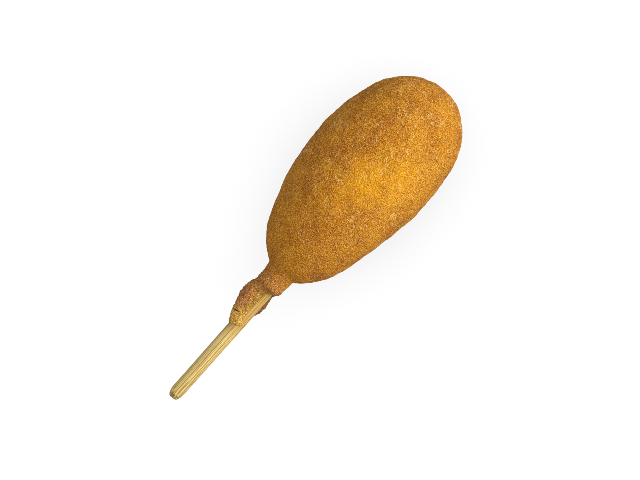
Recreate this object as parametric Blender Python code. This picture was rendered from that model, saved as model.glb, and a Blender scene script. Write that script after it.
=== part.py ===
"""A corn dog lying on its side: fried batter moulded round a round wooden stick.

Two solids. The crust is one piece of batter: an egg-shaped body, a short neck and a
sleeve that wraps part of the stick and leaves a bare slot along its upper side. The
stick is a plain turned rod with a rounded end, and runs on inside the body.

Everything is in metres with +Z up. The parts are worked out with the stick's axis as
the X axis and its bare end at x = 0, the sleeve's thick side towards +Y. The whole is
then moved so that its origin lies under its middle, on the surface it rests on.
"""

import math

import bmesh
import bpy
from mathutils import Vector

MM = 0.001
FULL_TURN = 2.0 * math.pi

# Stick: a 5.4 mm rod, 5.5 inches long.
STICK_RADIUS = 2.7 * MM
STICK_LENGTH = 139.7 * MM
STICK_END_ROUND = 1.8 * MM  # how far the end's rounding reaches in from the side
STICK_END_LENGTH = 4.0 * MM  # how far it reaches along the stick
STICK_SIDES = 32
STICK_ROUND_STEPS = 6

# Room left all round the stick inside the batter.
FIT_GAP = 0.3 * MM

# Body of batter: half widths follow two rounded quadrants that meet at the widest ring.
BODY_BASE_X = 61.3 * MM
BODY_WIDEST_X = 114.0 * MM
BODY_TIP_X = 151.6 * MM
BODY_RADIUS = 23.9 * MM
BODY_HEIGHT_SHARE = 0.96  # it slumped a little, so it is less high than wide
BASE_SHAPE = (1.7, 2.6)  # blunt at the neck: powers along and across the body
TIP_SHAPE = (2.5, 2.0)
BODY_LEAN = 0.85 * MM  # the body's middle lies off the stick's axis, towards +Y
BODY_BOW = 0.85 * MM  # and bows further off in one stretch
BOW_X = 97.0 * MM
BOW_HALF_LENGTH = 40.0 * MM
TIP_LEAN_START = 144.0 * MM  # from here to the tip the lean fades out
TIP_LEAN_FADE = 8.6 * MM

# Neck between body and sleeve.
NECK_START_X = 51.6 * MM
NECK_LENGTH = 10.0 * MM
NECK_RADIUS = 5.3 * MM
NECK_GROWTH = 0.4 * MM  # how much wider it is where it meets the body
NECK_LEAN = 0.65 * MM
NECK_EDGE = 3.0 * MM  # length of its rounded front edge
NECK_BLEND = 2.2 * MM  # size of the fillet between neck and body
NECK_SLEEVE_BLEND = 0.8 * MM  # and of the one between neck and sleeve
NECK_SINK = 8.0 * MM  # length over which it ends, out of sight inside the body

# Sleeve: a film over the stick, a thick lump on its +Y side and a lip under its -Y side.
SLEEVE_START_X = 34.0 * MM
SLEEVE_SLANT = 2.2 * MM  # its front edge starts this much later on the -Y side
SLEEVE_EDGE = 1.0 * MM  # length over which the front edge thins out
SLEEVE_FILM = 3.35 * MM  # radius of the film, from the stick's axis
LUMP_START_X = 35.0 * MM
LUMP_PEAK_X = 49.3 * MM
LUMP_END_X = 54.8 * MM
LUMP_HEIGHT = 4.05 * MM  # how far the lump's crest stands proud of the film
LUMP_FRONT_SHAPE = (1.5, 1.15)
LUMP_BACK_SHAPE = (2.0, 2.0)
LUMP_POWER = 2.4  # how quickly the lump falls away round the stick
LUMP_ANGLE = math.radians(-6.0)
UNDERSIDE_HEIGHT = 0.9 * MM  # batter hanging under the stick
UNDERSIDE_ANGLE = math.radians(-90.0)
UNDERSIDE_POWER = 1.6
LIP_X = 47.2 * MM
LIP_HALF_LENGTH = 6.6 * MM
LIP_HEIGHT = 0.62 * MM
LIP_ANGLE = math.radians(-158.0)
LIP_POWER = 6.0

# Bare slot along the stick's upper side, as angles round the stick: 0 is +Y, 90 is up.
# In front of it a tongue of batter laps over the stick; it opens once past the tongue.
SLOT_LOW = math.radians(95.0)
SLOT_HIGH = math.radians(192.0)
TONGUE_LOW = math.radians(138.0)
TONGUE_HIGH = math.radians(268.0)
TONGUE_END_X = 38.2 * MM
TONGUE_FADE = 1.6 * MM
SLOT_OPEN_X = 40.0 * MM
SLOT_OPEN_FADE = 3.5 * MM
SLOT_END_X = 51.6 * MM
SLOT_END_FADE = 1.8 * MM
SLOT_EDGE = math.radians(9.0)  # half the angle over which the film thins to nothing
UNDER_STICK = 2.45 * MM  # radius given to the loft where no batter shows

# Slow unevenness of the batter: turns along it, lobes round it, phase and size.
WAVES = (
    (1.6, 2, 0.6, 0.24 * MM),
    (2.7, 3, 2.1, 0.18 * MM),
    (4.3, 1, 4.0, 0.14 * MM),
    (6.1, 4, 1.2, 0.10 * MM),
)

# Shallow dents and swellings: place along, angle round, size, half length, half angle.
DENTS = (
    (73.4 * MM, math.radians(4.0), 0.40 * MM, 1.5 * MM, 0.40),
    (80.5 * MM, math.radians(0.0), -0.35 * MM, 4.5 * MM, 0.45),
    (88.5 * MM, math.radians(2.0), 0.38 * MM, 4.5 * MM, 0.45),
    (88.0 * MM, math.radians(180.0), -0.42 * MM, 4.5 * MM, 0.45),
    (107.5 * MM, math.radians(180.0), 0.28 * MM, 3.5 * MM, 0.45),
    (111.5 * MM, math.radians(0.0), 0.34 * MM, 6.5 * MM, 0.45),
    (141.0 * MM, math.radians(184.0), 0.26 * MM, 6.0 * MM, 0.50),
    (122.5 * MM, math.radians(182.0), -0.24 * MM, 3.5 * MM, 0.40),
    (129.5 * MM, math.radians(2.0), -0.22 * MM, 3.0 * MM, 0.40),
    (98.0 * MM, math.radians(62.0), 0.40 * MM, 13.0 * MM, 0.35),
    (128.0 * MM, math.radians(118.0), -0.35 * MM, 9.0 * MM, 0.40),
)

# Loft of the crust.
RING_SIDES = 56
SLEEVE_RINGS = 34
BODY_RINGS = 18  # to each side of the widest ring
BORE_SIDES = 32
REST_DEPTH = 0.6 * MM  # how much of the round underside is flattened where it rests

CRUST_COLOUR = (0.546, 0.246, 0.028, 1.0)
CRUST_ROUGHNESS = 0.62
STICK_COLOUR = (0.680, 0.479, 0.206, 1.0)
STICK_ROUGHNESS = 0.68


def smooth_step(start, length, value):
    """Rises smoothly from 0 at start to 1 at start + length."""
    share = min(max((value - start) / length, 0.0), 1.0)
    return share * share * (3.0 - 2.0 * share)


def smooth_larger(a, b, blend):
    """The larger of two values, rounded where they are about equal."""
    overlap = max(blend - abs(a - b), 0.0) / blend
    return max(a, b) + overlap * overlap * blend / 4.0


def quadrant(share, shape):
    """Falls from 1 at share 0 to 0 at share 1 along a superellipse with these powers."""
    along, across = shape
    return max(0.0, 1.0 - min(abs(share), 1.0) ** along) ** (1.0 / across)


def two_quadrants(x, start, peak, end, front_shape, back_shape):
    """A rounded hump that is 1 at peak and 0 at start and end."""
    if x < peak:
        return quadrant((peak - x) / (peak - start), front_shape)
    return quadrant((x - peak) / (end - peak), back_shape)


def hump(x, middle, half_length):
    """A smooth wave crest: 1 in its middle, 0 from half_length on either side."""
    return (1.0 + math.cos(math.pi * min(abs(x - middle) / half_length, 1.0))) / 2.0


def angle_between(a, b):
    """The smaller angle between two directions round the stick."""
    turn = (a - b) % FULL_TURN
    return min(turn, FULL_TURN - turn)


def lobe(angle, centre, power):
    """1 in the centre's direction, 0 a quarter turn and more away from it."""
    return max(0.0, math.cos(angle - centre)) ** power


def body_radius(x, angle):
    """Distance from the stick's axis to the body's surface; 0 or less outside the body."""
    half_width = BODY_RADIUS * two_quadrants(
        x, BODY_BASE_X, BODY_WIDEST_X, BODY_TIP_X, BASE_SHAPE, TIP_SHAPE
    )
    if half_width <= 0.0:
        return 0.0
    half_height = half_width * BODY_HEIGHT_SHARE
    section = half_width * half_height / math.hypot(
        half_height * math.cos(angle), half_width * math.sin(angle)
    )
    lean = BODY_LEAN + BODY_BOW * hump(x, BOW_X, BOW_HALF_LENGTH)
    fade = min(1.0, half_width / BODY_RADIUS * 2.0)
    fade *= 1.0 - smooth_step(TIP_LEAN_START, TIP_LEAN_FADE, x)
    return section + lean * fade * math.cos(angle)


def neck_radius(x, angle):
    """Radius of the neck, with a rounded front edge."""
    share = min(max((x - NECK_START_X) / NECK_LENGTH, 0.0), 1.0)
    edge = smooth_step(NECK_START_X, NECK_EDGE, x)
    grown = NECK_RADIUS + NECK_GROWTH * share * share + NECK_LEAN * math.cos(angle)
    return UNDER_STICK + (grown - UNDER_STICK) * edge


def slot_share(x, angle):
    """How bare the stick is here: 1 in the slot and beside the tongue, 0 under batter."""
    past_tongue = smooth_step(TONGUE_END_X, TONGUE_FADE, x)
    past_lip = smooth_step(SLOT_OPEN_X, SLOT_OPEN_FADE, x)
    low = TONGUE_LOW + (SLOT_LOW - TONGUE_LOW) * past_tongue
    high = TONGUE_HIGH + (SLOT_HIGH - TONGUE_HIGH) * past_lip
    from_middle = angle_between(angle, (low + high) / 2.0)
    inside = 1.0 - smooth_step((high - low) / 2.0 - SLOT_EDGE, 2.0 * SLOT_EDGE, from_middle)
    return inside * (1.0 - smooth_step(SLOT_END_X, SLOT_END_FADE, x))


def sleeve_radius(x, angle):
    """Radius of the sleeve, sunk below the stick's surface where the stick is bare."""
    lump = LUMP_HEIGHT * two_quadrants(
        x, LUMP_START_X, LUMP_PEAK_X, LUMP_END_X, LUMP_FRONT_SHAPE, LUMP_BACK_SHAPE
    )
    run = smooth_step(SLEEVE_START_X, LUMP_PEAK_X - SLEEVE_START_X, x)
    lip = LIP_HEIGHT * hump(x, LIP_X, LIP_HALF_LENGTH)
    covered = (
        SLEEVE_FILM
        + lump * lobe(angle, LUMP_ANGLE, LUMP_POWER)
        + UNDERSIDE_HEIGHT * run * lobe(angle, UNDERSIDE_ANGLE, UNDERSIDE_POWER)
        + lip * lobe(angle, LIP_ANGLE, LIP_POWER)
    )
    front = SLEEVE_START_X + SLEEVE_SLANT * math.sin(angle / 2.0) ** 2
    cover = smooth_step(front, SLEEVE_EDGE, x) * (1.0 - slot_share(x, angle))
    return UNDER_STICK + (covered - UNDER_STICK) * cover


def unevenness(x, angle, radius):
    """What the waves and dents add to a radius; it fades where the batter is thin."""
    share = x / BODY_TIP_X
    total = sum(
        size * math.sin(FULL_TURN * turns * share + phase) * math.sin(lobes * angle)
        for turns, lobes, phase, size in WAVES
    )
    for place, direction, size, half_length, half_angle in DENTS:
        along = (x - place) / half_length
        around = angle_between(angle, direction) / half_angle
        total += size * math.exp(-(along * along + around * around) / 2.0)
    return total * smooth_step(STICK_RADIUS, BODY_RADIUS / 2.0, radius)


def crust_radius(x, angle):
    """Distance from the stick's axis to the outside of the batter."""
    radius = sleeve_radius(x, angle)
    if x > NECK_START_X:
        radius = smooth_larger(radius, neck_radius(x, angle), NECK_SLEEVE_BLEND)
        radius *= 1.0 - smooth_step(BODY_BASE_X + NECK_BLEND, NECK_SINK, x)
        radius = smooth_larger(body_radius(x, angle), radius, NECK_BLEND)
    return radius + unevenness(x, angle, radius)


def stations():
    """Places of the crust's rings, closer together where its profile turns quickly."""
    front = SLEEVE_START_X - FIT_GAP
    step = (BODY_BASE_X - front) / SLEEVE_RINGS
    places = [front + step * i for i in range(SLEEVE_RINGS)]
    quarter = [math.pi / 2.0 * i / BODY_RINGS for i in range(BODY_RINGS + 1)]
    to_base = BODY_WIDEST_X - BODY_BASE_X
    to_tip = BODY_TIP_X - BODY_WIDEST_X
    places += [BODY_WIDEST_X - to_base * math.cos(turn) for turn in quarter]
    places += [BODY_WIDEST_X + to_tip * math.sin(turn) for turn in quarter[1:-1]]
    return places


def place_ring(verts, x):
    """Moves a ring's vertices to x, each to the batter's radius in its own direction."""
    for vert in verts:
        angle = math.atan2(vert.co.z, vert.co.y)
        radius = crust_radius(x, angle)
        vert.co = Vector((x, radius * math.cos(angle), radius * math.sin(angle)))


def crust_mesh():
    """Lofts the batter from the sleeve's front to the tip, ring by ring."""
    bm = bmesh.new()
    places = stations()
    ring = [
        bm.verts.new((places[0], math.cos(turn), math.sin(turn)))
        for turn in (FULL_TURN * (i + 0.5) / RING_SIDES for i in range(RING_SIDES))
    ]
    place_ring(ring, places[0])
    bm.faces.new(reversed(ring))
    edges = [bm.edges.get((ring[i - 1], ring[i])) for i in range(RING_SIDES)]
    for x in places[1:]:
        made = bmesh.ops.extrude_edge_only(bm, edges=edges)["geom"]
        edges = [item for item in made if isinstance(item, bmesh.types.BMEdge)]
        place_ring([item for item in made if isinstance(item, bmesh.types.BMVert)], x)
    last = bmesh.ops.extrude_edge_only(bm, edges=edges)["geom"]
    tip_verts = [item for item in last if isinstance(item, bmesh.types.BMVert)]
    bmesh.ops.pointmerge(bm, verts=tip_verts, merge_co=(BODY_TIP_X, 0.0, 0.0))
    bmesh.ops.recalc_face_normals(bm, faces=bm.faces)
    return finished_mesh(bm, "crust")


def stick_profile():
    """Half outline of the stick, from the middle of one end to the middle of the other."""
    flat = STICK_RADIUS - STICK_END_ROUND
    corner = []
    for i in range(STICK_ROUND_STEPS + 1):
        turn = math.pi / 2.0 * i / STICK_ROUND_STEPS
        along = STICK_END_LENGTH * (1.0 - math.cos(turn))
        corner.append((along, flat + STICK_END_ROUND * math.sin(turn)))
    far_corner = [(STICK_LENGTH - along, radius) for along, radius in reversed(corner)]
    return [(0.0, 0.0), *corner, *far_corner, (STICK_LENGTH, 0.0)]


def stick_mesh():
    """Turns the stick's half outline round its axis."""
    bm = bmesh.new()
    verts = [bm.verts.new((along, radius, 0.0)) for along, radius in stick_profile()]
    edges = [bm.edges.new(pair) for pair in zip(verts, verts[1:])]
    bmesh.ops.spin(
        bm,
        geom=verts + edges,
        cent=(0.0, 0.0, 0.0),
        axis=(1.0, 0.0, 0.0),
        angle=FULL_TURN,
        steps=STICK_SIDES,
        use_merge=True,
    )
    bmesh.ops.remove_doubles(bm, verts=bm.verts, dist=0.0001 * MM)
    bmesh.ops.recalc_face_normals(bm, faces=bm.faces)
    return finished_mesh(bm, "stick")


def finished_mesh(bm, name):
    """Writes a bmesh to a new mesh, shaded smooth with its sharp edges kept."""
    mesh = bpy.data.meshes.new(name)
    bm.to_mesh(mesh)
    bm.free()
    mesh.shade_smooth()
    mesh.set_sharp_from_angle(angle=math.radians(40.0))
    return mesh


def add_object(name, mesh, parent):
    """Puts a mesh in the scene under its parent."""
    thing = bpy.data.objects.new(name, mesh)
    bpy.context.scene.collection.objects.link(thing)
    thing.parent = parent
    return thing


def material(name, colour, roughness):
    """A plain Principled material."""
    made = bpy.data.materials.new(name)
    made.use_nodes = True
    shader = made.node_tree.nodes["Principled BSDF"]
    shader.inputs["Base Color"].default_value = colour
    shader.inputs["Roughness"].default_value = roughness
    shader.inputs["Metallic"].default_value = 0.0
    return made


def bore_cutter(parent):
    """A rod a little wider than the stick, which cuts its hole in the batter."""
    lead_in = 10.0 * MM
    start = SLEEVE_START_X - lead_in
    end = STICK_LENGTH + FIT_GAP
    bm = bmesh.new()
    bmesh.ops.create_cone(
        bm,
        cap_ends=True,
        segments=BORE_SIDES,
        radius1=STICK_RADIUS + FIT_GAP,
        radius2=STICK_RADIUS + FIT_GAP,
        depth=end - start,
    )
    cutter = add_object("bore_cutter", finished_mesh(bm, "bore_cutter"), parent)
    cutter.rotation_euler = (0.0, math.pi / 2.0, 0.0)
    cutter.location = ((start + end) / 2.0, 0.0, 0.0)
    return cutter


def rest_cutter(parent, lowest):
    """A block under the body that cuts the flat spot it rests on."""
    width = 2.0 * BODY_RADIUS
    bm = bmesh.new()
    bmesh.ops.create_cube(bm, size=width)
    cutter = add_object("rest_cutter", finished_mesh(bm, "rest_cutter"), parent)
    cutter.location = (BODY_WIDEST_X, 0.0, lowest + REST_DEPTH - width / 2.0)
    return cutter


def cut(thing, cutter):
    """Takes the cutter's shape out of the thing with an exact Boolean."""
    cutter.hide_render = True
    cutter.display_type = "WIRE"
    modifier = thing.modifiers.new(cutter.name, "BOOLEAN")
    modifier.operation = "DIFFERENCE"
    modifier.solver = "EXACT"
    modifier.object = cutter


def main():
    """Builds the corn dog."""
    for old in list(bpy.data.objects):
        bpy.data.objects.remove(old, do_unlink=True)
    whole = add_object("corn_dog", None, None)

    crust = add_object("crust", crust_mesh(), whole)
    crust.data.materials.append(material("batter", CRUST_COLOUR, CRUST_ROUGHNESS))
    stick = add_object("stick", stick_mesh(), whole)
    stick.data.materials.append(material("wood", STICK_COLOUR, STICK_ROUGHNESS))

    points = [vert.co for vert in crust.data.vertices]
    lowest = min(point.z for point in points)
    middle_y = (min(point.y for point in points) + max(point.y for point in points)) / 2.0
    cut(crust, bore_cutter(whole))
    cut(crust, rest_cutter(whole, lowest))
    whole.location = (-BODY_TIP_X / 2.0, -middle_y, -(lowest + REST_DEPTH))


main()
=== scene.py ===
"""The looks of a corn dog lying on its side, built round its CAD frame.

The crust is remeshed from the CAD crust, given its uneven fried surface and cut clean
where the stick passes through it. The stick is turned afresh with grooves along its
fibres. The CAD frame gives every place and size.
"""

import logging
import math
from contextlib import contextmanager
from dataclasses import dataclass
from enum import Enum
from typing import Callable, Iterator

import bmesh
import bpy
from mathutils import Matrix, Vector


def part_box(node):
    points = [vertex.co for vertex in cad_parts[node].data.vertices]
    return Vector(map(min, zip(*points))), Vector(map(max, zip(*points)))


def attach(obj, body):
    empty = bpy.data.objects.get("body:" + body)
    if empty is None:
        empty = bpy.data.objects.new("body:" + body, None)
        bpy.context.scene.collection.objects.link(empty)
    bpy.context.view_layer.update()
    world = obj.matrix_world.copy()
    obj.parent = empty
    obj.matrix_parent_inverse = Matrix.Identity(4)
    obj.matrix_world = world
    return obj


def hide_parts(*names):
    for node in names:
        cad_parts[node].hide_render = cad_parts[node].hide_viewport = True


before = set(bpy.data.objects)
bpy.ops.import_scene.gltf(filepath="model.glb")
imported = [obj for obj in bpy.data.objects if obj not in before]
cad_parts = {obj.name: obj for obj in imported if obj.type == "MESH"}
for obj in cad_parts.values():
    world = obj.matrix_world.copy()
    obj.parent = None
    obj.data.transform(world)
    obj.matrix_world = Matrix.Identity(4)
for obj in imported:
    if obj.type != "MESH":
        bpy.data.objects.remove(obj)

MM = 0.001
log = logging.getLogger("corn_dog")


class Slot(Enum):
    """Material slots of the record."""

    BATTER = "batter"
    WOOD = "wood"


class Relief(Enum):
    """Noises that raise and sink a surface."""

    CLOUDS = "CLOUDS"
    CELLS = "VORONOI"


class Part(Enum):
    """What is picked in edit mode, with its name in a mesh."""

    VERT = "verts"
    EDGE = "edges"
    FACE = "faces"

    def places(self, element: object) -> tuple[Vector, ...]:
        """What a test is told of one element.

        Args:
            element: A vertex, edge or face of an open mesh.

        Returns:
            A vertex's place, an edge's two ends, or a face's middle and normal.
        """
        if self is Part.VERT:
            return (element.co,)
        if self is Part.EDGE:
            return tuple(end.co for end in element.verts)
        return (element.calc_center_median(), element.normal)


# --------------------------------------------------------------------------------------
# Working with objects and meshes
# --------------------------------------------------------------------------------------


def tone(red: float, green: float, blue: float) -> tuple[float, float, float, float]:
    """A colour chosen on a 0 to 255 display scale, as linear light.

    Args:
        red: Display red.
        green: Display green.
        blue: Display blue.

    Returns:
        Linear red, green, blue and an alpha of 1.
    """

    def linear(value: float) -> float:
        """One channel as linear light.

        Args:
            value: The channel on the display scale.

        Returns:
            Its share of full light.
        """
        share = value / 255.0
        if share <= 0.04045:
            return share / 12.92
        return ((share + 0.055) / 1.055) ** 2.4

    return (linear(red), linear(green), linear(blue), 1.0)


def choose(thing: bpy.types.Object) -> None:
    """Makes an object the only selected one, and the active one.

    Args:
        thing: The object.
    """
    bpy.ops.object.select_all(action="DESELECT")
    thing.select_set(True)
    bpy.context.view_layer.objects.active = thing


@contextmanager
def editing(thing: bpy.types.Object, part: Part = Part.VERT) -> Iterator[None]:
    """Opens an object in edit mode with nothing selected, and closes it afterwards.

    Args:
        thing: The mesh object to edit.
        part: What is going to be selected.

    Yields:
        Nothing.
    """
    choose(thing)
    bpy.ops.object.mode_set(mode="EDIT")
    bpy.ops.mesh.select_mode(type=part.name)
    bpy.ops.mesh.select_all(action="DESELECT")
    yield
    bpy.ops.object.mode_set(mode="OBJECT")


def pick(thing: bpy.types.Object, part: Part, test: Callable[..., bool]) -> None:
    """Selects the elements of the mesh in edit mode that pass a test.

    Args:
        thing: The object in edit mode.
        part: Which elements are tested.
        test: Says of an element's places, as Part gives them, whether it counts.
    """
    mesh = bmesh.from_edit_mesh(thing.data)
    for element in getattr(mesh, part.value):
        element.select_set(bool(test(*part.places(element))))
    mesh.select_flush_mode()
    bmesh.update_edit_mesh(thing.data)


def apply_modifier(thing: bpy.types.Object, kind: str, **settings: object) -> None:
    """Adds a modifier to an object, sets it up and applies it.

    Args:
        thing: The object.
        kind: The modifier's type.
        **settings: The modifier's own settings by name.
    """
    choose(thing)
    modifier = thing.modifiers.new(kind.lower(), kind)
    for name, value in settings.items():
        setattr(modifier, name, value)
    bpy.ops.object.modifier_apply(modifier=modifier.name)


def weigh(thing: bpy.types.Object, name: str, weight: Callable[[Vector], float]) -> None:
    """Gives an object a vertex group whose weights follow a rule.

    Args:
        thing: The object.
        name: The group's name.
        weight: Gives the weight, 0 to 1, at a place.
    """
    group = thing.vertex_groups.new(name=name)
    for vert in thing.data.vertices:
        group.add([vert.index], min(max(weight(vert.co), 0.0), 1.0), "REPLACE")


def smooth_step(start: float, end: float, value: float) -> float:
    """Rises smoothly from 0 at start to 1 at end; falls if end is below start."""
    share = min(max((value - start) / (end - start), 0.0), 1.0)
    return share * share * (3.0 - 2.0 * share)


@dataclass(frozen=True)
class Roughening:
    """One layer of relief: how it is patterned, how coarse and how strong it is."""

    name: str
    relief: Relief
    size: float
    strength: float
    detail: int = 2
    level: float = 0.5
    group: str = ""

    def apply_to(self, thing: bpy.types.Object, guide: bpy.types.Object | None = None) -> None:
        """Moves a surface in and out along its normals.

        Args:
            thing: The object to roughen.
            guide: An empty that stretches the pattern, or None.
        """
        texture = bpy.data.textures.new(self.name, self.relief.value)
        texture.noise_scale = self.size
        if self.relief is Relief.CLOUDS:
            texture.noise_depth = self.detail
        settings: dict[str, object] = {
            "texture": texture,
            "strength": self.strength,
            "mid_level": self.level,
            "vertex_group": self.group,
        }
        if guide is not None:
            settings["texture_coords"] = "OBJECT"
            settings["texture_coords_object"] = guide
        apply_modifier(thing, "DISPLACE", **settings)
        bpy.data.textures.remove(texture)


# --------------------------------------------------------------------------------------
# Working with shader nodes
# --------------------------------------------------------------------------------------


class Graph:
    """Adds nodes to one node tree and joins them."""

    def __init__(self, tree: bpy.types.NodeTree) -> None:
        """Starts on an existing tree."""
        self.tree = tree
        self.count = 0

    def add(
        self,
        kind: str,
        inputs: dict[str | int, object] | None = None,
        **settings: object,
    ) -> bpy.types.Node:
        """Adds one node.

        Args:
            kind: The node's type.
            inputs: A value or an output socket for each named or numbered input.
            **settings: The node's own settings by name.

        Returns:
            The new node.
        """
        node = self.tree.nodes.new(kind)
        node.location = (220.0 * (self.count % 8), -260.0 * (self.count // 8))
        self.count += 1
        for name, value in settings.items():
            setattr(node, name, value)
        for key, value in (inputs or {}).items():
            self.feed(node.inputs[key], value)
        return node

    def feed(self, socket: bpy.types.NodeSocket, value: object) -> None:
        """Links an output socket to an input, or writes a plain value into it.

        Args:
            socket: The input.
            value: An output socket or a plain value.
        """
        if isinstance(value, bpy.types.NodeSocket):
            self.tree.links.new(value, socket)
        else:
            socket.default_value = value

    def math(self, operation: str, *values: object) -> bpy.types.NodeSocket:
        """Adds a Math node and gives its result."""
        node = self.add("ShaderNodeMath", dict(enumerate(values)), operation=operation)
        return node.outputs[0]

    def vector(self, operation: str, *values: object) -> bpy.types.NodeSocket:
        """Adds a Vector Math node and gives its vector."""
        node = self.add("ShaderNodeVectorMath", dict(enumerate(values)), operation=operation)
        return node.outputs[0]

    def length(self, vector: bpy.types.NodeSocket) -> bpy.types.NodeSocket:
        """The length of a vector."""
        node = self.add("ShaderNodeVectorMath", {0: vector}, operation="LENGTH")
        return node.outputs["Value"]

    def mix(self, share: object, low: object, high: object) -> bpy.types.NodeSocket:
        """Adds a colour mix and gives its result.

        Args:
            share: 0 for low, 1 for high; a value or a socket.
            low: The first colour or socket.
            high: The second colour or socket.

        Returns:
            The mixed colour.
        """
        node = self.add("ShaderNodeMix", data_type="RGBA", clamp_factor=True)
        self.feed(node.inputs["Factor"], share)
        self.feed(next(s for s in node.inputs if s.identifier == "A_Color"), low)
        self.feed(next(s for s in node.inputs if s.identifier == "B_Color"), high)
        return next(s for s in node.outputs if s.identifier == "Result_Color")

    def ramp(
        self, value: object, low: float, high: float, start: float = 0.0, end: float = 1.0
    ) -> bpy.types.NodeSocket:
        """Maps a value smoothly from one range to another.

        Args:
            value: The value or socket to map.
            low: Where the mapping starts.
            high: Where it ends.
            start: The result at low.
            end: The result at high.

        Returns:
            The mapped value, held at its ends.
        """
        node = self.add(
            "ShaderNodeMapRange",
            {"Value": value, "From Min": low, "From Max": high, "To Min": start, "To Max": end},
            interpolation_type="SMOOTHSTEP",
        )
        return node.outputs["Result"]


class Groups:
    """The shader node groups that several finishes share, each built once."""

    MOTTLE = "mottle"
    GRAIN = "grain"

    @classmethod
    def mottle(cls) -> bpy.types.NodeTree:
        """Slow, soft-edged patches.

        Returns:
            A group with Vector, Size, Detail, Low and High inputs and a Mask output.
        """
        if cls.MOTTLE in bpy.data.node_groups:
            return bpy.data.node_groups[cls.MOTTLE]
        inputs = {"Vector": None, "Size": 5.0 * MM, "Detail": 3.0, "Low": 0.4, "High": 0.6}
        graph, source, sink = cls.start(cls.MOTTLE, inputs, ["Mask"])
        scale = graph.math("DIVIDE", 1.0, source.outputs["Size"])
        clouds = graph.add(
            "ShaderNodeTexNoise",
            {
                "Vector": source.outputs["Vector"],
                "Scale": scale,
                "Detail": source.outputs["Detail"],
                "Roughness": 0.55,
            },
        )
        mask = graph.ramp(clouds.outputs[0], 0.4, 0.6)
        ramp = mask.node
        graph.feed(ramp.inputs["From Min"], source.outputs["Low"])
        graph.feed(ramp.inputs["From Max"], source.outputs["High"])
        graph.feed(sink.inputs["Mask"], mask)
        return graph.tree

    @classmethod
    def grain(cls) -> bpy.types.NodeTree:
        """Fine grains with pits between them.

        Returns:
            A group with Vector, Size, Light Share and Dark Share inputs, and Light, Dark,
            Sand and Height outputs. Sand runs smoothly from 0 in hollows to 1 on tops.
        """
        if cls.GRAIN in bpy.data.node_groups:
            return bpy.data.node_groups[cls.GRAIN]
        inputs = {"Vector": None, "Size": 0.6 * MM, "Light Share": 0.3, "Dark Share": 0.3}
        outputs = ["Light", "Dark", "Sand", "Height"]
        graph, source, sink = cls.start(cls.GRAIN, inputs, outputs)
        scale = graph.math("DIVIDE", 1.0, source.outputs["Size"])
        masks = {}
        for name, coarser, shift in (("Light", 1.0, 0.0), ("Dark", 1.25, 0.37)):
            moved = graph.vector("ADD", source.outputs["Vector"], (shift, shift, shift))
            cells = graph.add(
                "ShaderNodeTexVoronoi",
                {
                    "Vector": moved,
                    "Scale": graph.math("DIVIDE", scale, coarser),
                    "Randomness": 1.0,
                },
                feature="F1",
            )
            near = graph.ramp(cells.outputs["Distance"], 0.12, 0.62, 1.0, 0.0)
            chance = graph.add("ShaderNodeSeparateColor", {0: cells.outputs["Color"]})
            limit = graph.math("SUBTRACT", 1.0, source.outputs[f"{name} Share"])
            over = graph.math("SUBTRACT", chance.outputs[0], limit)
            chosen = graph.ramp(over, -0.04, 0.10)
            masks[name] = graph.math("MULTIPLY", near, chosen)
            graph.feed(sink.inputs[name], masks[name])
        noise = graph.add(
            "ShaderNodeTexNoise",
            {
                "Vector": source.outputs["Vector"],
                "Scale": graph.math("MULTIPLY", scale, 0.8),
                "Detail": 1.0,
                "Roughness": 0.6,
            },
        )
        sand = graph.ramp(noise.outputs[0], 0.42, 0.58)
        graph.feed(sink.inputs["Sand"], sand)
        height = graph.math("SUBTRACT", masks["Light"], masks["Dark"])
        graph.feed(sink.inputs["Height"], graph.math("ADD", height, sand))
        return graph.tree

    @staticmethod
    def start(
        name: str, inputs: dict[str, float | None], outputs: list[str]
    ) -> tuple[Graph, bpy.types.Node, bpy.types.Node]:
        """Makes an empty group with its sockets.

        Args:
            name: The group's name.
            inputs: Each input's default value; None makes a vector.
            outputs: The names of its value outputs.

        Returns:
            The group's graph, its input node and its output node.
        """
        tree = bpy.data.node_groups.new(name, "ShaderNodeTree")
        for label, value in inputs.items():
            kind = "NodeSocketVector" if value is None else "NodeSocketFloat"
            socket = tree.interface.new_socket(name=label, in_out="INPUT", socket_type=kind)
            if value is not None:
                socket.default_value = value
        for label in outputs:
            tree.interface.new_socket(name=label, in_out="OUTPUT", socket_type="NodeSocketFloat")
        graph = Graph(tree)
        return graph, graph.add("NodeGroupInput"), graph.add("NodeGroupOutput")


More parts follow.
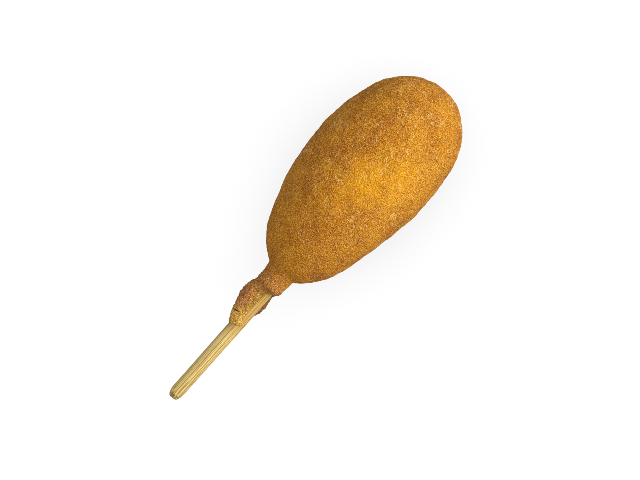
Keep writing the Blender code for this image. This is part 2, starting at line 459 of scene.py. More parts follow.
class Surface(Graph):
    """A new material's node tree with its Principled shader and object coordinates."""

    def __init__(self, name: str) -> None:
        """Makes the material.

        Args:
            name: The material's name.
        """
        self.material = bpy.data.materials.new(name)
        self.material.use_nodes = True
        super().__init__(self.material.node_tree)
        self.shader = self.tree.nodes["Principled BSDF"]
        self.place = self.add("ShaderNodeTexCoord").outputs["Object"]

    def mottle(
        self, size: float, low: float, high: float, detail: float = 3.0, where: object = None
    ) -> bpy.types.NodeSocket:
        """Places the mottle group.

        Args:
            size: Size of the patches.
            low: Noise value at which the mask starts.
            high: Noise value at which it is full.
            detail: Octaves of noise.
            where: The coordinates, or None for object coordinates.

        Returns:
            The mask.
        """
        values = {"Size": size, "Low": low, "High": high, "Detail": detail}
        values["Vector"] = where or self.place
        return self.add("ShaderNodeGroup", values, node_tree=Groups.mottle()).outputs["Mask"]

    def grain(self, size: float, light: float, dark: float) -> bpy.types.Node:
        """Places the grain group.

        Args:
            size: Size of one grain.
            light: Share of light grains.
            dark: Share of dark pits.

        Returns:
            The group's node, with Light, Dark, Sand and Height outputs.
        """
        values = {"Vector": self.place, "Size": size, "Light Share": light, "Dark Share": dark}
        return self.add("ShaderNodeGroup", values, node_tree=Groups.grain())

    def near(
        self, point: Vector, stretch: tuple[float, float, float], inner: float, outer: float
    ) -> bpy.types.NodeSocket:
        """A soft-edged patch round a point.

        Args:
            point: Middle of the patch.
            stretch: How far the patch reaches along each axis; 1 is the plain distance.
            inner: Distance within which the mask is 1.
            outer: Distance beyond which it is 0.

        Returns:
            The mask.
        """
        moved = self.vector("SUBTRACT", self.place, tuple(point))
        return self.ramp(self.length(self.vector("DIVIDE", moved, stretch)), inner, outer, 1.0, 0.0)

    def bump(self, height: object, distance: float, strength: float) -> bpy.types.NodeSocket:
        """Adds a Bump node and gives its normal."""
        values = {"Height": height, "Distance": distance, "Strength": strength}
        return self.add("ShaderNodeBump", values).outputs["Normal"]

    def set(self, **values: object) -> None:
        """Writes or links inputs of the shader; an underscore stands for a space."""
        for name, value in values.items():
            self.feed(self.shader.inputs[name.replace("_", " ")], value)


# --------------------------------------------------------------------------------------
# Places read from the CAD frame
# --------------------------------------------------------------------------------------


@dataclass(frozen=True)
class Layout:
    """Where the stick lies and how low the batter reaches, as the CAD frame gives them."""

    stick_start: float
    stick_end: float
    stick_radius: float
    axis_y: float
    axis_z: float
    floor_z: float

    @classmethod
    def from_frame(cls) -> "Layout":
        """Reads the boxes of the CAD nodes.

        Returns:
            The layout.
        """
        low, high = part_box("stick")
        return cls(
            stick_start=low[0],
            stick_end=high[0],
            stick_radius=(high[2] - low[2]) / 2.0,
            axis_y=(low[1] + high[1]) / 2.0,
            axis_z=(low[2] + high[2]) / 2.0,
            floor_z=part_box("crust")[0][2],
        )

    def along(self, distance: float) -> float:
        """The x of a place this far from the stick's bare end."""
        return self.stick_start + distance

    def point(self, distance: float, side: float, height: float) -> Vector:
        """A point this far along the stick, and beside and above its axis."""
        return Vector((self.along(distance), self.axis_y + side, self.axis_z + height))

    def from_axis(self, place: Vector) -> float:
        """Distance of a place from the stick's axis."""
        return math.hypot(place.y - self.axis_y, place.z - self.axis_z)


# --------------------------------------------------------------------------------------
# Finishes
# --------------------------------------------------------------------------------------


@dataclass(frozen=True)
class Patch:
    """A soft-edged patch on the batter, placed from the stick's bare end and its axis."""

    distance: float
    side: float
    height: float
    stretch: tuple[float, float, float]
    reach: float
    strength: float
    core: float = 1.0 * MM

    def mask(self, s: Surface, layout: Layout) -> bpy.types.NodeSocket:
        """Full strength in the patch's core, 0 beyond its reach.

        Args:
            s: The material being built.
            layout: Where the stick lies.

        Returns:
            The mask.
        """
        middle = layout.point(self.distance, self.side, self.height)
        patch = s.near(middle, self.stretch, self.core, self.reach)
        return s.math("MULTIPLY", patch, self.strength)


@dataclass(frozen=True)
class BatterFinish:
    """Fried corn batter: sandy, golden brown, redder and darker on neck and sleeve; part of that
    darkness is painted shade, and a painted highlight lies on the side facing the key.
    """

    layout: Layout
    golden: tuple = tone(222, 143, 6)
    brown: tuple = tone(191, 111, 6)
    yellow: tuple = tone(246, 168, 0)
    # Painted highlight colour, for lighter patches on the side facing the key.
    painted_highlight: tuple = tone(253, 174, 30)
    toasted: tuple = tone(178, 117, 66)
    scorched: tuple = tone(112, 62, 34)
    # Painted shade: dark brown for the sleeve below the stick's axis.
    underside_shade: tuple = tone(113, 76, 58)
    tongue: tuple = tone(252, 196, 92)
    film: tuple = tone(208, 160, 54)
    meal: tuple = tone(255, 214, 126)
    rosy: tuple = tone(252, 202, 150)
    # Painted shade for the sand's hollows, the dark pits and the crack.
    pit_shade: tuple = tone(92, 38, 2)
    sand_size: float = 0.31 * MM
    grain_size: float = 0.50 * MM
    grain_shares: tuple = (0.26, 0.28)
    sand_shares: tuple = (0.34, 0.34)
    calming: float = 0.35
    film_stretch: float = 0.10
    underside_shade_strength: float = 0.78
    relief: float = 0.10 * MM
    relief_strength: float = 0.9
    roughness: float = 0.66
    gloss: float = 0.08
    # The first patch is the least browned batter; the second, on the side facing the key, is a
    # painted highlight.
    yellow_and_highlight_patches: tuple = (
        Patch(105.0 * MM, -1.0 * MM, 22.0 * MM, (1.5, 0.9, 2.0), 12.0 * MM, 1.0),
        Patch(115.5 * MM, -9.5 * MM, 20.0 * MM, (1.5, 0.8, 2.0), 9.5 * MM, 0.75),
    )
    # Painted highlight: lighter patches on the side facing the key, where the light falls
    # strongest.
    painted_highlight_patches: tuple = (
        Patch(116.0 * MM, -13.0 * MM, 16.0 * MM, (1.9, 1.1, 1.6), 11.0 * MM, 0.60),
        Patch(129.0 * MM, -4.0 * MM, 19.0 * MM, (1.2, 1.0, 1.6), 7.5 * MM, 0.55),
        Patch(97.5 * MM, -14.0 * MM, 14.0 * MM, (1.3, 1.0, 1.6), 7.0 * MM, 0.45),
    )
    brown_patch: Patch = Patch(84.0 * MM, -4.0 * MM, 18.0 * MM, (2.0, 1.1, 1.6), 12.0 * MM, 0.50)
    lump: Patch = Patch(45.0 * MM, 5.0 * MM, 0.5 * MM, (1.9, 1.0, 1.4), 4.4 * MM, 1.0, 2.4 * MM)
    crack_middle: tuple = (40.0 * MM, 3.7 * MM, 3.0 * MM)
    crack_turn: float = math.radians(-15.2)
    crack_stretch: tuple = (0.30, 1.7, 4.0)

    def material(self) -> bpy.types.Material:
        """Builds the batter's material.

        Returns:
            The new material.
        """
        s = Surface("fried_batter")
        yellow = self.yellow_and_highlight_mask(s)
        colour = self.crust_colour(s, yellow)
        calm = s.math("SUBTRACT", 1.0, s.math("MULTIPLY", yellow, self.calming))
        light = s.mix(self.lump.mask(s, self.layout), self.meal, self.rosy)
        grain = s.grain(self.grain_size, *self.grain_shares)
        sand = s.grain(self.sand_size, *self.sand_shares)
        # Painted shade and light of the relief: darker in the sand's hollows and in the dark pits,
        # faintly lighter on the sand's tops.
        hollow_shade = s.math("SUBTRACT", 1.0, sand.outputs["Sand"])
        for mask, strength, tint in (
            (hollow_shade, 0.56, self.pit_shade),
            (sand.outputs["Sand"], 0.08, light),
            (grain.outputs["Dark"], 0.30, self.pit_shade),
            (sand.outputs["Light"], 0.57, light),
            (grain.outputs["Light"], 0.60, light),
            (self.streak_mask(s), 0.65, light),
        ):
            share = s.math("MULTIPLY", s.math("MULTIPLY", mask, strength), calm)
            colour = s.mix(share, colour, tint)
        # Painted shade: the sleeve below the stick's axis is darkened as if in shadow.
        below = s.math("MULTIPLY", self.underside_shade_mask(s), self.underside_shade_strength)
        colour = s.mix(below, colour, self.underside_shade)
        # Painted shade inside the crack.
        colour = s.mix(self.crack_mask(s), colour, self.pit_shade)

        rough = s.ramp(s.mottle(1.8 * MM, 0.35, 0.65), 0.0, 1.0, self.roughness, 0.80)
        sand_height = s.math("MULTIPLY", sand.outputs["Height"], 0.6)
        height = s.math("ADD", grain.outputs["Height"], sand_height)
        s.set(
            Base_Color=colour,
            Roughness=rough,
            Metallic=0.0,
            Specular_IOR_Level=self.gloss,
            Normal=s.bump(height, self.relief, self.relief_strength),
        )
        return s.material

    def yellow_and_highlight_mask(self, s: Surface) -> bpy.types.NodeSocket:
        """1 where the body is least browned, along the middle of its upper side, and on a painted
        highlight beside it, on the side facing the key.

        Args:
            s: The material being built.

        Returns:
            The mask.
        """
        total: object = 0.0
        for patch in self.yellow_and_highlight_patches:
            total = s.math("MAXIMUM", total, patch.mask(s, self.layout))
        uneven = s.ramp(s.mottle(4.2 * MM, 0.34, 0.60), 0.0, 1.0, 0.55, 1.0)
        return s.math("MULTIPLY", total, uneven)

    def underside_shade_mask(self, s: Surface) -> bpy.types.NodeSocket:
        """1 on the part of the sleeve that lies lower than the stick's axis, where the colour is
        darkened as painted shade.

        Args:
            s: The material being built.

        Returns:
            The mask.
        """
        lay = self.layout
        height = s.add("ShaderNodeSeparateXYZ", {0: s.place}).outputs[2]
        below = s.ramp(height, lay.axis_z - 0.2 * MM, lay.axis_z + 1.0 * MM, 1.0, 0.0)
        return s.math("MULTIPLY", below, self.along_mask(s, 56.0 * MM, 50.0 * MM))

    def crust_colour(self, s: Surface, yellow: bpy.types.NodeSocket) -> bpy.types.NodeSocket:
        """Browns the batter: slow patches, a yellow patch that is partly painted highlight, lighter
        patches of painted highlight on the side facing the key, and the toasted thin parts.

        Args:
            s: The material being built.
            The mask of the least browned part and of a painted highlight.

        Returns:
            The colour before grains and pits.
        """
        lay = self.layout
        colour = s.mix(s.mottle(8.0 * MM, 0.32, 0.66), self.brown, self.golden)
        colour = s.mix(yellow, colour, self.yellow)
        # Painted highlight on the side facing the key.
        for patch in self.painted_highlight_patches:
            colour = s.mix(patch.mask(s, lay), colour, self.painted_highlight)
        colour = s.mix(self.brown_patch.mask(s, lay), colour, self.brown)

        sleeve = self.along_mask(s, 64.0 * MM, 56.0 * MM)
        toast = s.math("MULTIPLY", sleeve, s.mottle(2.4 * MM, 0.26, 0.56))
        colour = s.mix(s.math("MULTIPLY", toast, 0.80), colour, self.toasted)
        scorch = s.math("MULTIPLY", self.lump.mask(s, lay), s.mottle(1.5 * MM, 0.52, 0.66))
        colour = s.mix(s.math("MULTIPLY", scorch, 0.42), colour, self.scorched)

        away = self.from_axis(s)
        thin = s.ramp(away, lay.stick_radius + 0.7 * MM, lay.stick_radius + 1.6 * MM, 1.0, 0.0)
        thin = s.math("MULTIPLY", thin, self.along_mask(s, 54.0 * MM, 51.0 * MM))
        fibre = s.vector("MULTIPLY", s.place, (self.film_stretch, 1.0, 1.0))
        lines = s.mottle(0.36 * MM, 0.50, 0.60, 2.0, fibre)
        film = s.mix(s.math("MULTIPLY", lines, 0.8), self.film, self.scorched)
        colour = s.mix(s.math("MULTIPLY", thin, 0.85), colour, film)
        front = s.math("MULTIPLY", self.along_mask(s, 44.0 * MM, 39.0 * MM), 0.80)
        return s.mix(front, colour, self.tongue)

    def along_mask(self, s: Surface, clear: float, full: float) -> bpy.types.NodeSocket:
        """A mask along the stick, measured from its bare end.

        Args:
            s: The material being built.
            clear: Where the mask is 0, and beyond.
            full: Where it is 1, and beyond.

        Returns:
            The mask.
        """
        x = s.add("ShaderNodeSeparateXYZ", {0: s.place}).outputs[0]
        low, high = sorted((clear, full))
        ends = (0.0, 1.0) if clear < full else (1.0, 0.0)
        return s.ramp(x, self.layout.along(low), self.layout.along(high), *ends)

    def streak_mask(self, s: Surface) -> bpy.types.NodeSocket:
        """Thin light streaks where the batter ran, in patches over the body.

        Args:
            s: The material being built.

        Returns:
            The mask.
        """
        run = s.add(
            "ShaderNodeTexNoise",
            {"Vector": s.place, "Scale": 1.0 / (3.4 * MM), "Detail": 2.0, "Roughness": 0.6},
        ).outputs[0]
        away = s.math("ABSOLUTE", s.math("SUBTRACT", run, 0.5))
        streak = s.ramp(away, 0.004, 0.030, 1.0, 0.0)
        patches = s.mottle(5.5 * MM, 0.50, 0.64)
        upper = self.along_mask(s, 80.0 * MM, 96.0 * MM)
        return s.math("MULTIPLY", streak, s.math("MULTIPLY", patches, upper))

    def crack_mask(self, s: Surface) -> bpy.types.NodeSocket:
        """1 along the short crack across the lower end of the lump, which is darkened there as
        painted shade.

        Args:
            s: The material being built.

        Returns:
            The mask.
        """
        moved = s.vector("SUBTRACT", s.place, tuple(self.layout.point(*self.crack_middle)))
        spun = s.add(
            "ShaderNodeVectorRotate",
            {"Vector": moved, "Angle": self.crack_turn},
            rotation_type="Z_AXIS",
        )
        away = s.length(s.vector("DIVIDE", spun.outputs[0], self.crack_stretch))
        return s.ramp(away, 0.55 * MM, 1.0 * MM, 0.9, 0.0)

    def from_axis(self, s: Surface) -> bpy.types.NodeSocket:
        """Distance from the stick's axis.

        Args:
            s: The material being built.

        Returns:
            The distance.
        """
        axis = (0.0, self.layout.axis_y, self.layout.axis_z)
        across = s.vector("MULTIPLY", s.vector("SUBTRACT", s.place, axis), (0.0, 1.0, 1.0))
        return s.length(across)


@dataclass(frozen=True)
class WoodFinish:
    """Plain straw-coloured wood: fine fibres, a browned end, oily close to the batter."""

    layout: Layout
    pale: tuple = tone(236, 208, 131)
    straw: tuple = tone(216, 184, 106)
    line: tuple = tone(112, 78, 28)
    oily: tuple = tone(192, 148, 72)
    end: tuple = tone(126, 76, 38)
    stretch: float = 0.014
    roughness: float = 0.66
    rim_middle: tuple = (1.5 * MM, 0.0, 0.0)
    rim_stretch: tuple = (0.25, 1000.0, 1000.0)
    rim_reach: tuple = (0.9 * MM, 2.2 * MM)

    def material(self) -> bpy.types.Material:
        """Builds the wood's material.

        Returns:
            The new material.
        """
        s = Surface("skewer_wood")
        lay = self.layout
        x = s.add("ShaderNodeSeparateXYZ", {0: s.place}).outputs[0]
        fibre = s.vector("MULTIPLY", s.place, (self.stretch, 1.0, 1.0))
        colour = s.mix(s.mottle(1.1 * MM, 0.36, 0.60, 2.0, fibre), self.straw, self.pale)
        oil = s.ramp(x, lay.along(28.0 * MM), lay.along(38.0 * MM))
        colour = s.mix(s.math("MULTIPLY", oil, 0.80), colour, self.oily)
        fine = s.mottle(0.28 * MM, 0.44, 0.60, 1.0, fibre)
        colour = s.mix(s.math("MULTIPLY", fine, 0.30), colour, self.line)
        lines = s.mottle(0.44 * MM, 0.57, 0.62, 0.0, fibre)
        colour = s.mix(s.math("MULTIPLY", lines, 0.58), colour, self.line)
        rim = s.near(lay.point(*self.rim_middle), self.rim_stretch, *self.rim_reach)
        end = s.ramp(x, lay.along(0.7 * MM), lay.along(2.1 * MM), 1.0, 0.0)
        spots = s.mottle(0.6 * MM, 0.42, 0.54, 2.0)
        browned = s.math("MULTIPLY", s.math("MAXIMUM", end, rim), spots)
        colour = s.mix(s.math("MULTIPLY", browned, 0.85), colour, self.end)
        height = s.math("SUBTRACT", s.math("MULTIPLY", fine, -0.4), lines)
        s.set(
            Base_Color=colour,
            Roughness=s.ramp(fine, 0.0, 1.0, self.roughness, 0.8),
            Metallic=0.0,
            Specular_IOR_Level=0.2,
            Normal=s.bump(height, 0.07 * MM, 0.8),
        )
        return s.material


@dataclass(frozen=True)
class StageFinish:
    """A plain white floor that glows like a light table, dimmed close to what lies on it."""

    glow: float = 1.005
    dimming: float = 0.30
    reach: float = 38.0 * MM

    def material(self) -> bpy.types.Material:
        """Builds the floor's material.

        Returns:
            The new material.
        """
        s = Surface("white_floor")
        # Painted shadow: the glow is dimmed near what lies on the floor, in place of a cast shadow.
        open_sky = s.add("ShaderNodeAmbientOcclusion", {"Distance": self.reach}, samples=12)
        dim = s.ramp(open_sky.outputs["AO"], 0.0, 1.0, self.glow * (1.0 - self.dimming), self.glow)
        s.set(
            Base_Color=(0.02, 0.02, 0.02, 1.0),
            Roughness=0.9,
            Specular_IOR_Level=0.0,
            Emission_Color=(1.0, 1.0, 1.0, 1.0),
            Emission_Strength=dim,
        )
        return s.material


# --------------------------------------------------------------------------------------
# Sub-assemblies
# --------------------------------------------------------------------------------------


@dataclass
class BatterCrust:
    """The whole run of fried batter: egg-shaped body, neck and sleeve on the stick."""

    layout: Layout
    finish: BatterFinish
    voxel: float = 0.50 * MM
    sleeve_end: float = 63.0 * MM
    sleeve_fade: float = 5.0 * MM
    film_deepening: float = 0.82
    film_top: float = 3.5 * MM
    thick_from: float = 4.7 * MM
    film_wall: float = 0.33 * MM
    merge_distance: float = 0.002 * MM
    smoothing: float = 0.5
    body_passes: int = 14
    sleeve_passes: int = 3
    crack_start: tuple = (39.5 * MM, 5.6 * MM, 0.0)
    crack_end: tuple = (40.5 * MM, 2.2 * MM, 0.0)
    crack_width: float = 0.28 * MM
    crack_depth: float = 0.75 * MM
    bore_sides: int = 96
    stick_clearance: float = 0.01 * MM
    body_layers: tuple = (
        Roughening("swells", Relief.CLOUDS, 7.0 * MM, 0.90 * MM, 1),
        Roughening("peel", Relief.CLOUDS, 1.9 * MM, 0.42 * MM, 2),
        Roughening("sand", Relief.CELLS, 1.0 * MM, 0.16 * MM),
    )
    sleeve_layers: tuple = (
        Roughening("sleeve_lumps", Relief.CLOUDS, 2.4 * MM, 0.8 * MM, 2, 0.5, "thick"),
        Roughening("sleeve_crumb", Relief.CLOUDS, 0.9 * MM, 0.5 * MM, 3, 0.5, "thick"),
        Roughening("film_holes", Relief.CLOUDS, 1.1 * MM, 0.7 * MM, 2, 0.68, "film"),
    )

    def build(self) -> bpy.types.Object:
        """Makes the crust, dresses it and binds it to the frame.

        Returns:
            The finished piece.
        """
        crust = self.remeshed_copy()
        self.refine_sleeve(crust)
        for layer in (*self.body_layers, *self.sleeve_layers):
            layer.apply_to(crust)
        self.cut_crack(crust)
        self.rest_on_floor(crust)
        self.bore(crust)
        self.keep_largest(crust)
        choose(crust)
        bpy.ops.object.shade_smooth()
        crust.vertex_groups.clear()
        crust.data.materials.clear()
        crust.data.materials.append(self.finish.material())
        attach(crust, "root")
        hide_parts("crust")
        return crust

    def remeshed_copy(self) -> bpy.types.Object:
        """Copies the CAD crust, thickens its film inwards and evens out its faces.

        Returns:
            The new object.
        """
        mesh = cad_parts["crust"].data.copy()
        crust = bpy.data.objects.new("fried_crust", mesh)
        bpy.context.scene.collection.objects.link(crust)
        lay = self.layout
        wall = lay.stick_radius + self.film_wall
        with editing(crust):
            bpy.ops.mesh.select_all(action="SELECT")
            bpy.ops.mesh.remove_doubles(threshold=self.merge_distance)
            bpy.ops.mesh.select_all(action="DESELECT")
            pick(crust, Part.VERT, lambda place: lay.from_axis(place) < wall)
            bpy.ops.transform.resize(
                value=(1.0, self.film_deepening, self.film_deepening),
                center_override=(0.0, lay.axis_y, lay.axis_z),
            )
        apply_modifier(crust, "REMESH", mode="VOXEL", voxel_size=self.voxel)
        end = lay.along(self.sleeve_end)
        fade = self.sleeve_fade
        weigh(crust, "sleeve", lambda place: smooth_step(end + fade, end - fade, place.x))
        weigh(crust, "body", lambda place: smooth_step(end - fade, end + fade, place.x))
        for group, passes in (("body", self.body_passes), ("sleeve", self.sleeve_passes)):
            settings = {"factor": self.smoothing, "iterations": passes, "vertex_group": group}
            apply_modifier(crust, "SMOOTH", **settings)
        return crust

    def refine_sleeve(self, crust: bpy.types.Object) -> None:
        """Divides the faces of neck and sleeve once more, for their coarser crumb.

        Args:
            crust: The remeshed crust.
        """
        lay = self.layout
        end = lay.along(self.sleeve_end)
        fade = self.sleeve_fade
        with editing(crust, Part.FACE):
            pick(crust, Part.FACE, lambda middle, normal: middle.x < end)
            bpy.ops.mesh.subdivide(number_cuts=1, smoothness=0.0)

        def on_sleeve(place: Vector) -> float:
            """1 on neck and sleeve."""
            return smooth_step(end + fade, end - fade, place.x)

        def thickness(place: Vector) -> float:
            """0 on the thin film, 1 on thick batter."""
            return smooth_step(self.film_top, self.thick_from, lay.from_axis(place))

        weigh(crust, "thick", lambda place: on_sleeve(place) * thickness(place))
        weigh(crust, "film", lambda place: on_sleeve(place) * (1.0 - thickness(place)))

    def cut_crack(self, crust: bpy.types.Object) -> None:
        """Sinks a short crack across the lump of the sleeve.

        Args:
            crust: The roughened crust.
        """
        start = self.layout.point(*self.crack_start)
        run = self.layout.point(*self.crack_end) - start
        for vert in crust.data.vertices:
            if vert.co.z < self.layout.axis_z:
                continue
            offset = Vector((vert.co.x - start.x, vert.co.y - start.y, 0.0))
            share = min(max(offset.dot(run) / run.length_squared, 0.0), 1.0)
            away = (offset - run * share).length
            taper = 1.0 - (2.0 * share - 1.0) ** 4
            vert.co.z -= self.crack_depth * taper * math.exp(-((away / self.crack_width) ** 2))

    def rest_on_floor(self, crust: bpy.types.Object) -> None:
        """Presses flat what reaches below the surface that the crust lies on.

        Args:
            crust: The roughened crust.
        """
        for vert in crust.data.vertices:
            vert.co.z = max(vert.co.z, self.layout.floor_z)

    def bore(self, crust: bpy.types.Object) -> None:
        """Cuts the stick's hole, so that the batter ends on the wood.

        Args:
            crust: The roughened crust.
        """
        lay = self.layout
        length = lay.stick_end - lay.stick_start
        bpy.ops.object.select_all(action="DESELECT")
        bpy.ops.mesh.primitive_cylinder_add(
            vertices=self.bore_sides,
            radius=lay.stick_radius - self.stick_clearance,
            depth=length,
            location=(lay.stick_start + length / 2.0, lay.axis_y, lay.axis_z),
            rotation=(0.0, math.pi / 2.0, 0.0),
        )
        rod = bpy.context.object
        apply_modifier(crust, "BOOLEAN", operation="DIFFERENCE", solver="MANIFOLD", object=rod)
        bpy.data.objects.remove(rod)

    def keep_largest(self, crust: bpy.types.Object) -> None:
        """Deletes crumbs that the cut has left loose.

        Args:
            crust: The bored crust.
        """
        mesh = bmesh.new()
        mesh.from_mesh(crust.data)
        unseen = set(mesh.verts)
        parts: list[set[bmesh.types.BMVert]] = []
        while unseen:
            stack = [unseen.pop()]
            part = set(stack)
            while stack:
                for edge in stack.pop().link_edges:
                    for vert in edge.verts:
                        if vert in unseen:
                            unseen.remove(vert)
                            part.add(vert)
                            stack.append(vert)
            parts.append(part)
        largest = max(parts, key=len)
        loose = [vert for part in parts if part is not largest for vert in part]
        bmesh.ops.delete(mesh, geom=loose, context="VERTS")
        mesh.to_mesh(crust.data)
        mesh.free()
        log.info("crust: %d loose crumbs removed", len(parts) - 1)


@dataclass
class Skewer:
    """The round stick, with a rounded bare end and fibres along it."""

    layout: Layout
    finish: WoodFinish
    sides: int = 144
    fibre_reach: float = 58.0 * MM
    ring_step: float = 0.8 * MM
    end_round: float = 1.8 * MM
    end_length: float = 4.0 * MM
    round_steps: int = 12
    end_rings: tuple = (0.75, 0.5, 0.25)
    shortest_side: float = 5.0 * MM
    crease: float = math.radians(50.0)
    fibre_stretch: float = 30.0
    layers: tuple = (
        Roughening("fibres", Relief.CLOUDS, 0.55 * MM, 0.16 * MM, 2, 0.75),
        Roughening("waviness", Relief.CLOUDS, 2.2 * MM, 0.12 * MM, 1, 0.75),
    )

    def build(self) -> bpy.types.Object:
        """Makes the stick, dresses it and binds it to the frame.

        Returns:
            The finished piece.
        """
        stick = self.turned_rod()
        self.roughen(stick)
        choose(stick)
        bpy.ops.object.shade_smooth_by_angle(angle=self.crease)
        stick.data.materials.clear()
        stick.data.materials.append(self.finish.material())
        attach(stick, "root")
        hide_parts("stick")
        return stick

    def turned_rod(self) -> bpy.types.Object:
        """Turns the rod: a cylinder whose ends are drawn in step by step.

        Returns:
            The new object.
        """
        lay = self.layout
        length = lay.stick_end - lay.stick_start - 2.0 * self.end_length
        middle = (lay.stick_start + lay.stick_end) / 2.0
        bpy.ops.object.select_all(action="DESELECT")
        bpy.ops.mesh.primitive_cylinder_add(
            vertices=self.sides,
            radius=lay.stick_radius,
            depth=length,
            end_fill_type="NGON",
            location=(middle, lay.axis_y, lay.axis_z),
            rotation=(0.0, math.pi / 2.0, 0.0),
        )
        stick = bpy.context.object
        stick.name = "wooden_stick"
        bpy.ops.object.transform_apply(location=True, rotation=True, scale=True)
        with editing(stick, Part.FACE):
            for way in (-1.0, 1.0):
                self.draw_in_end(stick, way)
        self.divide(stick)
        return stick

    def draw_in_end(self, stick: bpy.types.Object, way: float) -> None:
        """Rounds one end by extruding its face in short steps and shrinking it.

        Args:
            stick: The stick in edit mode.
            way: -1 for the bare end, 1 for the hidden one.
        """
        lay = self.layout
        pick(stick, Part.FACE, lambda middle, normal: normal.x * way > 0.9)
        radius = lay.stick_radius
        reached = 0.0
        for step in range(1, self.round_steps + 1):
            turn = math.pi / 2.0 * step / self.round_steps
            to_radius = lay.stick_radius - self.end_round * (1.0 - math.cos(turn))
            to_reach = self.end_length * math.sin(turn)
            bpy.ops.mesh.extrude_region_move(
                TRANSFORM_OT_translate={"value": (way * (to_reach - reached), 0.0, 0.0)}
            )
            shrink = to_radius / radius
            bpy.ops.transform.resize(
                value=(1.0, shrink, shrink), center_override=(0.0, lay.axis_y, lay.axis_z)
            )
            radius = to_radius
            reached = to_reach
        flat = lay.stick_radius - self.end_round
        for share in self.end_rings:
            bpy.ops.mesh.inset(thickness=(radius - share * flat))
            radius = share * flat
        bpy.ops.mesh.poke()
        bpy.ops.mesh.select_all(action="DESELECT")

    def divide(self, stick: bpy.types.Object) -> None:
        """Divides the stretch that shows into short rings.

        Args:
            stick: The turned rod.
        """
        lay = self.layout
        reach = lay.along(self.fibre_reach)
        with editing(stick, Part.FACE):
            bpy.ops.mesh.select_all(action="SELECT")
            bpy.ops.mesh.bisect(plane_co=(reach, 0.0, 0.0), plane_no=(1.0, 0.0, 0.0))
        with editing(stick, Part.EDGE):
            shortest = self.shortest_side
            pick(
                stick,
                Part.EDGE,
                lambda a, b: abs(a.x - b.x) > shortest and max(a.x, b.x) < reach + self.ring_step,
            )
            bpy.ops.mesh.subdivide(number_cuts=round(self.fibre_reach / self.ring_step))

    def roughen(self, stick: bpy.types.Object) -> None:
        """Sinks fine grooves along the fibres.

        Args:
            stick: The turned rod.
        """
        guide = bpy.data.objects.new("fibre_guide", None)
        bpy.context.scene.collection.objects.link(guide)
        guide.scale = (self.fibre_stretch, 1.0, 1.0)
        bpy.context.view_layer.update()
        for layer in self.layers:
            layer.apply_to(stick, guide)
        bpy.data.objects.remove(guide)


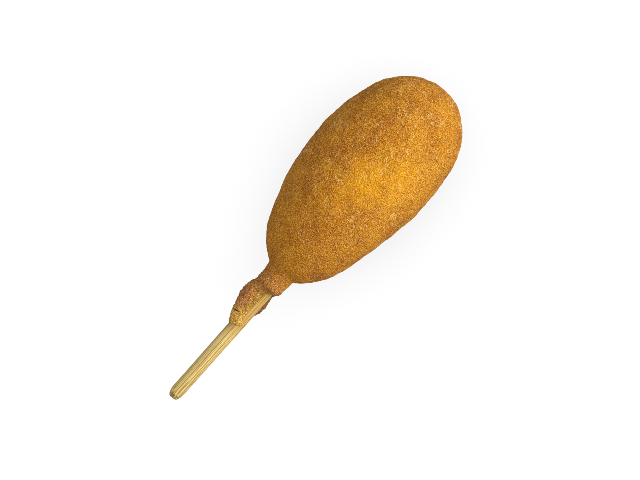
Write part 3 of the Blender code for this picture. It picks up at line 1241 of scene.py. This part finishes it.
@dataclass
class Studio:
    """White floor, soft light and a camera that looks straight down."""

    layout: Layout
    finish: StageFinish
    floor_radius: float = 1.5
    floor_sides: int = 96
    wall_height: float = 0.9
    wall_steps: int = 8
    tilt_of_axis: float = math.radians(48.35)
    aim: tuple = (4.0 * MM, -3.72 * MM)
    camera_height: float = 590.0 * MM
    lens: float = 89.9
    sharpness: float = 0.75
    sky_strength: float = 0.72
    ground_strength: float = 0.06
    key_strength: float = 4.1
    key_angle: float = math.radians(36.0)
    key_tilt: float = math.radians(66.0)
    key_turn: float = math.radians(8.0)

    def build(self) -> None:
        """Makes the stage, the lights, the world and the camera."""
        self.floor()
        self.light()
        self.camera()
        bpy.context.scene.view_settings.view_transform = "Standard"
        bpy.context.scene.cycles.filter_width = self.sharpness
        bpy.context.scene.cycles.use_denoising = False

    def floor(self) -> bpy.types.Object:
        """Makes a round white floor that turns up into a wall at its rim.

        Returns:
            The floor.
        """
        bpy.ops.object.select_all(action="DESELECT")
        bpy.ops.mesh.primitive_circle_add(
            vertices=self.floor_sides,
            radius=self.floor_radius,
            fill_type="NGON",
            location=(0.0, 0.0, 0.0),
        )
        floor = bpy.context.object
        floor.name = "floor"
        with editing(floor, Part.EDGE):
            rim = self.floor_radius * 0.99
            pick(floor, Part.EDGE, lambda a, b: a.length > rim and b.length > rim)
            radius = self.floor_radius
            height = 0.0
            for step in range(1, self.wall_steps + 1):
                turn = math.pi / 2.0 * step / self.wall_steps
                to_radius = self.floor_radius + self.wall_height * math.sin(turn)
                to_height = self.wall_height * (1.0 - math.cos(turn))
                bpy.ops.mesh.extrude_edges_move(
                    TRANSFORM_OT_translate={"value": (0.0, 0.0, to_height - height)}
                )
                grow = to_radius / radius
                bpy.ops.transform.resize(value=(grow, grow, 1.0), center_override=(0.0, 0.0, 0.0))
                radius = to_radius
                height = to_height
        bpy.ops.object.shade_smooth()
        floor.data.materials.clear()
        floor.data.materials.append(self.finish.material())
        floor.visible_diffuse = False
        return floor

    def light(self) -> None:
        """Lights the stage evenly, with a soft key from beyond the tip, on the lip's side."""
        world = bpy.data.worlds.new("studio")
        bpy.context.scene.world = world
        world.use_nodes = True
        graph = Graph(world.node_tree)
        way = graph.add("ShaderNodeTexCoord").outputs["Generated"]
        height = graph.add("ShaderNodeSeparateXYZ", {0: way}).outputs[2]
        sky = world.node_tree.nodes["Background"]
        graph.feed(
            sky.inputs["Strength"],
            graph.ramp(height, -0.05, 0.05, self.ground_strength, self.sky_strength),
        )
        sky.inputs["Color"].default_value = (1.0, 1.0, 1.0, 1.0)
        key = bpy.data.lights.new("key", "SUN")
        key.energy = self.key_strength
        key.angle = self.key_angle
        lamp = bpy.data.objects.new("key", key)
        bpy.context.scene.collection.objects.link(lamp)
        right, up = self.picture_axes()
        aside = right * math.cos(self.key_turn) + up * math.sin(self.key_turn)
        towards = aside * math.sin(self.key_tilt) + Vector((0.0, 0.0, math.cos(self.key_tilt)))
        lamp.rotation_euler = towards.to_track_quat("Z", "Y").to_euler()

    def picture_axes(self) -> tuple[Vector, Vector]:
        """The directions on the floor that point right and up in the picture.

        Returns:
            Two unit vectors.
        """
        turn = self.tilt_of_axis
        right = Vector((math.cos(turn), -math.sin(turn), 0.0))
        up = Vector((math.sin(turn), math.cos(turn), 0.0))
        return right, up

    def camera(self) -> None:
        """Hangs the camera over the corn dog."""
        data = bpy.data.cameras.new("camera")
        data.lens = self.lens
        data.clip_start = 10.0 * MM
        camera = bpy.data.objects.new("camera", data)
        bpy.context.scene.collection.objects.link(camera)
        camera.location = (*self.aim, self.layout.axis_z + self.camera_height)
        camera.rotation_euler = (0.0, 0.0, -self.tilt_of_axis)
        bpy.context.scene.camera = camera


def main() -> None:
    """Builds the pieces in order and reports each one."""
    logging.basicConfig(level=logging.INFO, format="%(name)s: %(message)s")
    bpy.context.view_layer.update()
    layout = Layout.from_frame()
    for piece in (
        BatterCrust(layout, BatterFinish(layout)).build(),
        Skewer(layout, WoodFinish(layout)).build(),
    ):
        log.info("%s: %d faces", piece.name, len(piece.data.polygons))
    Studio(layout, StageFinish()).build()


if __name__ == "__main__":
    main()
